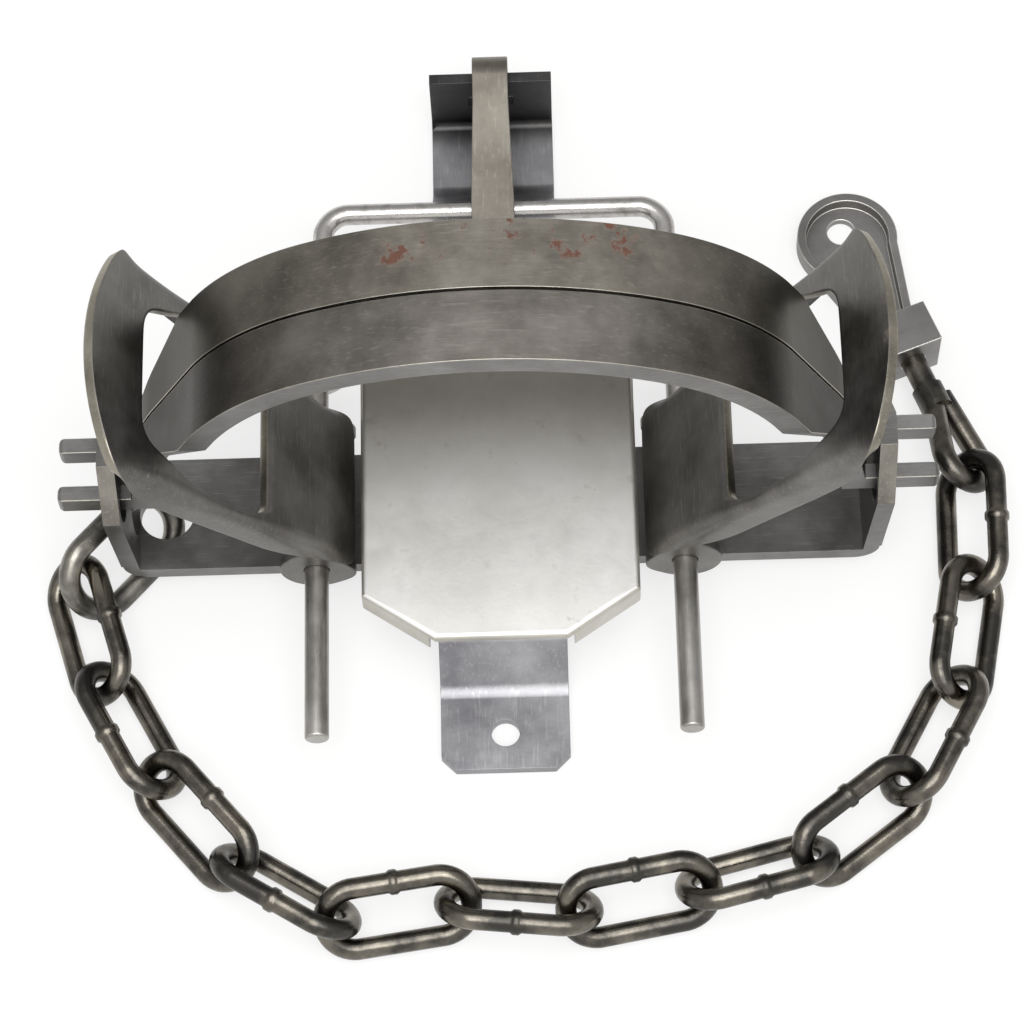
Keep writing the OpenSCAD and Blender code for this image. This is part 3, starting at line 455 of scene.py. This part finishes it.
def lever_section(inner, outer, facing, roll, depth):
    """Points across the sheet at a station: flat from the opening, then rolled down into the flange."""
    out = Vector((cos(radians(facing)), sin(radians(facing))))
    start = Vector(outer) - out * roll
    turn = min(2 * atan(depth / roll), pi / 2)
    r = roll / sin(turn) if turn else 0
    bent = r * turn if turn else roll
    length = bent + max(0, depth - roll)
    points = [(*Vector(inner).lerp(start, i / FLAT_STEPS), LEVER_TOP) for i in range(FLAT_STEPS + 1)]
    for i in range(1, BEND_STEPS + 1):
        way = length * i / BEND_STEPS
        if not turn:
            along, drop = way, 0
        elif way < bent:
            along, drop = r * sin(way / r), r * (1 - cos(way / r))
        else:
            along, drop = roll, r * (1 - cos(turn)) + way - bent
        points.append((*(start + out * along), LEVER_TOP - drop))
    return points


def sheet_piece(name, rows, up):
    """A sheet through rows of points in millimetres, shaped from a grid, its outer side towards up."""
    bpy.ops.object.select_all(action="DESELECT")
    bpy.ops.mesh.primitive_grid_add(x_subdivisions=len(rows[0]) - 1, y_subdivisions=len(rows) - 1, size=1)
    piece = bpy.context.active_object
    piece.name = name
    for point, p in zip(piece.data.vertices, (p for row in rows for p in row)):
        point.co = p * MM
    piece.data.update()
    if sum(face.normal.dot(up) * face.area for face in piece.data.polygons) < 0:
        bpy.ops.object.mode_set(mode="EDIT")
        bpy.ops.mesh.select_all(action="SELECT")
        bpy.ops.mesh.flip_normals()
        bpy.ops.object.mode_set(mode="OBJECT")
    return piece


def ear_rows(y, side):
    """An ear round the pin's hole: round below, squarer above where it meets the sheet."""
    hole = PIN_D / 2 + EAR_PLAY
    rows = []
    for step in range(EAR_STEPS + 1):
        a = 2 * pi * step / EAR_STEPS
        u, h = cos(a), sin(a)
        swell = (u ** EAR_POWER + h ** EAR_POWER) ** (-1 / EAR_POWER) if h > 0 else 1
        rows.append([lever_point(hole * u, y, hole * h, side),
                     lever_point(EAR_R * swell * u, y, EAR_TOP * swell * h if h > 0 else EAR_R * h, side)])
    return rows


def lever_ear(y, side, finish):
    """One ear, its rear face at y."""
    ear = sheet_piece("ear", ear_rows(y, side), Vector((0, 1, 0)))
    work_on(ear)
    bpy.ops.object.mode_set(mode="EDIT")
    bpy.ops.mesh.select_all(action="SELECT")
    bpy.ops.mesh.remove_doubles(threshold=SAME_POINT)
    bpy.ops.object.mode_set(mode="OBJECT")
    ear.data.materials.append(finish)
    apply_modifier(ear, "SOLIDIFY", thickness=EAR_T * MM, offset=-1)
    round_edges(ear, 0.3)
    return ear


for name, node, side, finish in (("lever_left", "left_lever", -1, lever_steel),
                                 ("lever_right", "right_lever", 1, lever_rusty_steel)):
    up = lever_point(0, 0, 1, side) - lever_point(0, 0, 0, side)
    rows = [[lever_point(u, y, h, side) for u, y, h in lever_section(*station)] for station in LEVER_STATIONS]
    lever = sheet_piece(name, rows, up)
    lever.data.materials.append(finish)
    lever.data.materials.append(lever_edge_steel)
    apply_modifier(lever, "MIRROR", use_axis=(False, True, False), merge_threshold=MIRROR_MERGE)
    apply_modifier(lever, "SOLIDIFY", thickness=LEVER_T * MM, offset=-1, material_offset_rim=1,
                   edge_crease_inner=LEVER_CREASE, edge_crease_outer=LEVER_CREASE)
    apply_modifier(lever, "SUBSURF", levels=2, render_levels=2)
    ears = [lever_ear(y, side, finish) for y in (EAR_Y + EAR_T, -EAR_Y)]
    work_on(lever)
    for ear in ears:
        ear.select_set(True)
    bpy.ops.object.join()
    smooth(lever, 50)
    fit(lever, node, node + "_body")


# Base strip and cross strip, riveted together

# Above this height the posts' front and rear edges have the edges' finish
POST_WORN_FROM = 20
# Where the cross strip's fold lines are: how long at least, and between which places
FOLD_LENGTH, FOLD_FRONT, FOLD_REAR, FOLD_TOP = 15, -46, 81.9, 8
FOLD_ROUND = 1.4


def fold_line(p, q):
    """Whether an edge from p to q runs across the cross strip where it is bent."""
    across = abs(p.x - q.x) > FOLD_LENGTH and abs(p.y - q.y) < ON_LINE and abs(p.z - q.z) < ON_LINE
    return across and FOLD_FRONT < p.y < FOLD_REAR and p.z < FOLD_TOP


base = copy_of("base_strip", "base", base_steel, base_edge_steel)
paint_faces(base, 1, lambda p, n: abs(n.y) > 0.3 and p.z > POST_WORN_FROM)
round_edges(base, 0.4, slot=1)
fit(base, "base_strip", "frame")

cross = copy_of("cross_strip", "cross", cross_steel)
bend_edges(cross, fold_line, FOLD_ROUND, 5)
round_edges(cross, 0.35)
fit(cross, "cross_strip", "frame")

rivets = copy_of("rivets", "cross_rivets", pin_steel)
round_edges(rivets, 0.9, 4)
fit(rivets, "rivets", "frame")


# Spring pins: turned rod with broken corners

PIN_ROUND = 0.45

for name, node in (("pin_left", "left_pin"), ("pin_right", "right_pin")):
    low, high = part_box(node)
    bpy.ops.object.select_all(action="DESELECT")
    bpy.ops.mesh.primitive_cylinder_add(vertices=48, radius=PIN_D / 2 * MM, depth=high.y - low.y,
                                        location=(low + high) / 2, rotation=(radians(90), 0, 0))
    pin = bpy.context.active_object
    pin.name = name
    bpy.ops.object.transform_apply(location=True, rotation=True, scale=True)
    ends = (low.y / MM, high.y / MM)
    bend_edges(pin, lambda p, q: any(abs(p.y - y) < ON_LINE and abs(q.y - y) < ON_LINE for y in ends),
               PIN_ROUND, 4)
    pin.data.materials.append(pin_steel)
    smooth(pin)
    fit(pin, node, "frame")


# Coil spring: one wire, in two halves that meet in the middle of the bridge

LEG_PULL_TIP, LEG_PULL_COIL = 10, 12
LEG_STEPS, TURN_STEPS, BEND_POINTS = 12, 24, 10


def bezier(a, b, c, d, t):
    """A point on the curve from a to d that b and c pull."""
    return a * (1 - t) ** 3 + b * (3 * t * (1 - t) ** 2) + c * (3 * t * t * (1 - t)) + d * t ** 3


def coil_point(angle, y):
    """A point on the right coil, its angle counted from below the pin."""
    a = radians(angle)
    return Vector((PIN_X - SPRING_R * sin(a), y, PIN_H - SPRING_R * cos(a)))


def spring_route():
    """From the leg's tip under the right lever, round the pin and out to the middle of the bridge."""
    last = 360 * (SPRING_TURNS - 1) + COIL_EXIT_ANGLE
    steps = TURN_STEPS * SPRING_TURNS
    coil = []
    for i in range(steps + 1):
        s = i / steps
        angle = -LEVER_RAISE + s * (last + LEVER_RAISE)
        coil.append(coil_point(angle, COIL_FROM + s * (COIL_TO - COIL_FROM)))
    tip = lever_point(LEG_REACH, COIL_FROM - LEG_TIP_BACK, LEG_HEIGHT)
    along = lever_point(0, 0, 0) - lever_point(1, 0, 0)
    arch = [tip, tip + along * LEG_PULL_TIP, coil[0] - along * LEG_PULL_COIL, coil[0]]
    leg = [bezier(*arch, i / LEG_STEPS) for i in range(LEG_STEPS)]
    out = Vector((-cos(radians(last)), 0, sin(radians(last))))
    run = Vector((BRIDGE_X, COIL_TO + EXIT_RUN, BRIDGE_Z))
    exit_bend = [coil[-1], coil[-1] + out * EXIT_PULL, run - Vector((0, EXIT_LEVEL, 0)), run]
    leaving = [bezier(*exit_bend, i / BEND_POINTS) for i in range(1, BEND_POINTS + 1)]
    bend = [Vector((BRIDGE_X, BRIDGE_Y - BRIDGE_BEND, BRIDGE_Z)),
            Vector((BRIDGE_X, BRIDGE_Y - BRIDGE_PULL, BRIDGE_Z)),
            Vector((BRIDGE_X - BRIDGE_BEND + BRIDGE_PULL, BRIDGE_Y, BRIDGE_Z)),
            Vector((BRIDGE_X - BRIDGE_BEND, BRIDGE_Y, BRIDGE_Z))]
    corner = [bezier(*bend, i / BEND_POINTS) for i in range(BEND_POINTS + 1)]
    bridge = [Vector((x, BRIDGE_Y, BRIDGE_Z)) for x in (BRIDGE_X / 2, 0)]
    return leg + coil + leaving + corner + bridge


def wire_piece(name, route, wire, finish):
    """A round wire along a route given in millimetres, as a closed mesh."""
    line = bpy.data.curves.new(name, "CURVE")
    line.dimensions = "3D"
    line.bevel_depth = wire / 2 * MM
    line.bevel_resolution = 6
    line.use_fill_caps = True
    path = line.splines.new("POLY")
    path.points.add(len(route) - 1)
    for point, p in zip(path.points, route):
        point.co = (*(p * MM), 1)
    piece = bpy.data.objects.new(name, line)
    scene.collection.objects.link(piece)
    work_on(piece)
    bpy.ops.object.convert(target="MESH")
    bpy.ops.object.mode_set(mode="EDIT")
    bpy.ops.mesh.select_all(action="SELECT")
    bpy.ops.mesh.remove_doubles(threshold=SAME_POINT)
    bpy.ops.mesh.normals_make_consistent(inside=False)
    bpy.ops.object.mode_set(mode="OBJECT")
    piece.data.materials.clear()
    piece.data.materials.append(finish)
    return piece


for name, side, lever in (("spring_left", -1, "left_lever_body"), ("spring_right", 1, "right_lever_body")):
    route = [Vector((side * p.x, p.y, p.z)) for p in spring_route()]
    half = wire_piece(name, route, SPRING_WIRE, spring_steel)
    smooth(half)
    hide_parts("coil_spring")
    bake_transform(half)


# Pan, a drawn sheet with a rolled rim that hangs on a bolt, and the dog

PAN_ROUND = 1.1


def pan_rim(p, q):
    """Whether an edge from p to q lies in the pan's top."""
    return abs(p.z - PAN_TOP) < ON_LINE and abs(q.z - PAN_TOP) < ON_LINE


pan = copy_of("pan", "trigger_pan", pan_zinc, pan_edge_zinc)
paint_faces(pan, 1, lambda p, n: abs(n.z) < 0.3)
bend_edges(pan, pan_rim, PAN_ROUND, 5)
round_edges(pan, 0.25, 2)
fit(pan, "pan", "pan_body")
for name, node in (("hinge_bolt", "pan_bolt"), ("hinge_nut", "pan_nut")):
    fastener = copy_of(node, name, pin_steel)
    round_edges(fastener, 0.3)
    fit(fastener, node, "frame")

dog = copy_of("dog", "dog_strip", dog_steel)
round_edges(dog, 0.35)
fit(dog, "dog", "dog_body")


# Chain: links of welded wire, each leaning to one side and the other in turn

RING_STEPS, WIRE_STEPS = 48, 20
# A weld: cuts along its side, the share of that side that is drawn together, how far, and the bead
WELD_CUTS, WELD_SPAN, WELD_DRAW = 5, 0.8, 0.2
BEAD_HALF, BEAD_SWELL = 0.6, 1.2
LINK_SMOOTH = 60


def wire_link(name, wire, r, half, weld):
    """An oval link flat at the origin, a ring drawn out lengthways, with its weld on side weld, if any."""
    bpy.ops.object.select_all(action="DESELECT")
    bpy.ops.mesh.primitive_torus_add(major_segments=RING_STEPS, minor_segments=WIRE_STEPS,
                                     major_radius=r * MM, minor_radius=wire / 2 * MM,
                                     rotation=(0, 0, radians(180 / RING_STEPS)))
    link = bpy.context.active_object
    link.name = name
    bpy.ops.object.transform_apply(location=True, rotation=True, scale=True)
    for side in (-1, 1):
        pick_points(link, lambda p: p.x * side > 0)
        bpy.ops.transform.translate(value=(side * half * MM, 0, 0))
        bpy.ops.object.mode_set(mode="OBJECT")
    if weld:
        pick_edges(link, lambda p, q: p.x * q.x < 0 and p.y * weld > 0)
        bpy.ops.mesh.subdivide(number_cuts=WELD_CUTS)
        bpy.ops.object.mode_set(mode="OBJECT")
        middle = (0, weld * r * MM, 0)
        pick_points(link, lambda p: p.y * weld > 0 and abs(p.x) < half * WELD_SPAN)
        bpy.ops.transform.resize(value=(WELD_DRAW, 1, 1), center_override=middle)
        bpy.ops.object.mode_set(mode="OBJECT")
        pick_points(link, lambda p: p.y * weld > 0 and abs(p.x) < BEAD_HALF)
        bpy.ops.transform.resize(value=(1, BEAD_SWELL, BEAD_SWELL), center_override=middle)
        bpy.ops.object.mode_set(mode="OBJECT")
    return link


def lay_link(link, x, y, z, heading, tilt):
    """Puts a flat link in its place in the chain, in its mesh."""
    turned = Matrix.Rotation(radians(heading), 4, "Z") @ Matrix.Rotation(radians(tilt), 4, "X")
    link.matrix_world = Matrix.Translation((x * MM, y * MM, z * MM)) @ turned
    work_on(link)
    bpy.ops.object.transform_apply(location=True, rotation=True, scale=True)


patterns = {weld: wire_link("link_pattern", LINK_WIRE, LINK_R, LINK_HALF, weld) for weld in (-1, 1)}
for pattern in patterns.values():
    pattern.data.materials.append(link_steel)
    smooth(pattern, LINK_SMOOTH)
x, y = CHAIN_START
for number, (heading, lean) in enumerate(zip(LINK_HEADINGS, LINK_TILTS), 1):
    work_on(patterns[1 if lean > 0 else -1])
    bpy.ops.object.duplicate()
    link = bpy.context.active_object
    link.name = "link_%02d" % number
    step = Vector((cos(radians(heading)), sin(radians(heading)))) * LINK_PITCH
    tilt = lean * LINK_TILT
    lift = GROUND + LINK_WIRE / 2 + LINK_R * abs(sin(radians(tilt)))
    lay_link(link, x + step.x / 2, y + step.y / 2, lift, heading, tilt)
    x, y = x + step.x, y + step.y
    node = "chain_link_%02d" % number
    fit(link, node, node + "_body")
for pattern in patterns.values():
    bpy.data.objects.remove(pattern)

low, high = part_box("anchor_link")
middle = (low + high) / 2 / MM
anchor = wire_link("anchor", ANCHOR_WIRE, ANCHOR_R, ANCHOR_HALF, 0)
anchor.data.materials.append(anchor_steel)
smooth(anchor, LINK_SMOOTH)
lay_link(anchor, middle.x, middle.y, middle.z, ANCHOR_HEADING, ANCHOR_TILT)
fit(anchor, "anchor_link", "anchor_link_body")


# Swivel: a hook with a headed shank that turns in a dished strap

hook = copy_of("swivel_hook", "hook", hook_steel)
round_edges(hook, 0.3, 2, angle=40)
fit(hook, "swivel_hook", "swivel_hook_body")

strap = copy_of("swivel_strap", "strap", strap_zinc, strap_rim_zinc)
round_edges(strap, 0.45, slot=1)
fit(strap, "swivel_strap", "swivel_strap_body")


# Stage, in metres: a pale floor, soft light from above and the camera

FLOOR_SIZE, FLOOR_GAP, FLOOR_WHITE = 8, 0.0002, 0.7

bpy.ops.object.select_all(action="DESELECT")
bpy.ops.mesh.primitive_plane_add(size=FLOOR_SIZE, location=(0, 0, GROUND * MM - FLOOR_GAP))
floor = bpy.context.active_object
floor.name = "floor"
paper = bpy.data.materials.new("pale_paper_floor")
paper.use_nodes = True
tree = paper.node_tree
tree.nodes.remove(tree.nodes["Principled BSDF"])
lit = add(tree, "ShaderNodeBsdfDiffuse", {"Color": tone("#f2f2f0")})
white = add(tree, "ShaderNodeEmission", {"Color": (1, 1, 1, 1), "Strength": 1})
ray = add(tree, "ShaderNodeLightPath")
seen = add(tree, "ShaderNodeMath", {"operation": "ADD"},
           {0: ray.outputs["Is Camera Ray"], 1: ray.outputs["Is Glossy Ray"]})
seen = add(tree, "ShaderNodeMath", {"operation": "ADD", "use_clamp": True},
           {0: seen.outputs[0], 1: ray.outputs["Is Transmission Ray"]})
share = add(tree, "ShaderNodeMath", {"operation": "MULTIPLY", 1: FLOOR_WHITE}, {0: seen.outputs[0]})
both = add(tree, "ShaderNodeMixShader", links={0: share.outputs[0], 1: lit.outputs[0], 2: white.outputs[0]})
tree.links.new(both.outputs[0], tree.nodes["Material Output"].inputs["Surface"])
floor.data.materials.append(paper)

# The room is brightest above and in front of the object
BRIGHT_SIDE = (0, -0.8, 0.6)
world = bpy.data.worlds.new("studio")
world.use_nodes = True
scene.world = world
tree = world.node_tree
direction = add(tree, "ShaderNodeTexCoord").outputs["Generated"]
towards = add(tree, "ShaderNodeVectorMath", {"operation": "DOT_PRODUCT", 1: BRIGHT_SIDE}, {0: direction})
glow = add(tree, "ShaderNodeMapRange",
           {"From Min": -0.2, "From Max": 0.9, "To Min": 0.42, "To Max": 1.0,
            "interpolation_type": "SMOOTHSTEP"}, {"Value": towards.outputs["Value"]})
tree.links.new(glow.outputs[0], tree.nodes["Background"].inputs["Strength"])
tree.nodes["Background"].inputs["Color"].default_value = (1, 1, 1, 1)

LAMP_AIM = Vector((0, 0, 0.02))


def soft_lamp(name, place, size, power):
    """A softbox that faces the trap."""
    bpy.ops.object.select_all(action="DESELECT")
    bpy.ops.object.light_add(type="AREA", location=place)
    lamp = bpy.context.active_object
    lamp.name = name
    lamp.data.shape = "RECTANGLE"
    lamp.data.size, lamp.data.size_y = size
    lamp.data.energy = power
    lamp.rotation_euler = (LAMP_AIM - Vector(place)).to_track_quat("-Z", "Y").to_euler()


soft_lamp("softbox_above", (0.0, -0.1, 1.0), (0.8, 0.6), 4)
soft_lamp("softbox_front", (0.05, -0.55, 1.05), (0.9, 0.5), 5)

ELEVATION, ORBIT, ROLL, DISTANCE = radians(65), radians(1.5), radians(-3.0), 0.68
LENS, SENSOR, FAR = 137.1, 36, 20
AIM = Vector((0.002, 0, 0))
bpy.ops.object.camera_add()
camera = bpy.context.active_object
camera.data.lens = LENS
camera.data.sensor_width = SENSOR
camera.data.clip_end = FAR
back = Vector((cos(ELEVATION) * sin(ORBIT), -cos(ELEVATION) * cos(ORBIT), sin(ELEVATION)))
camera.location = AIM + back * DISTANCE
facing = (-back).to_track_quat("-Z", "Y").to_matrix() @ Matrix.Rotation(ROLL, 3, "Z")
camera.rotation_euler = facing.to_euler()
scene.camera = camera
scene.view_settings.view_transform = "Standard"
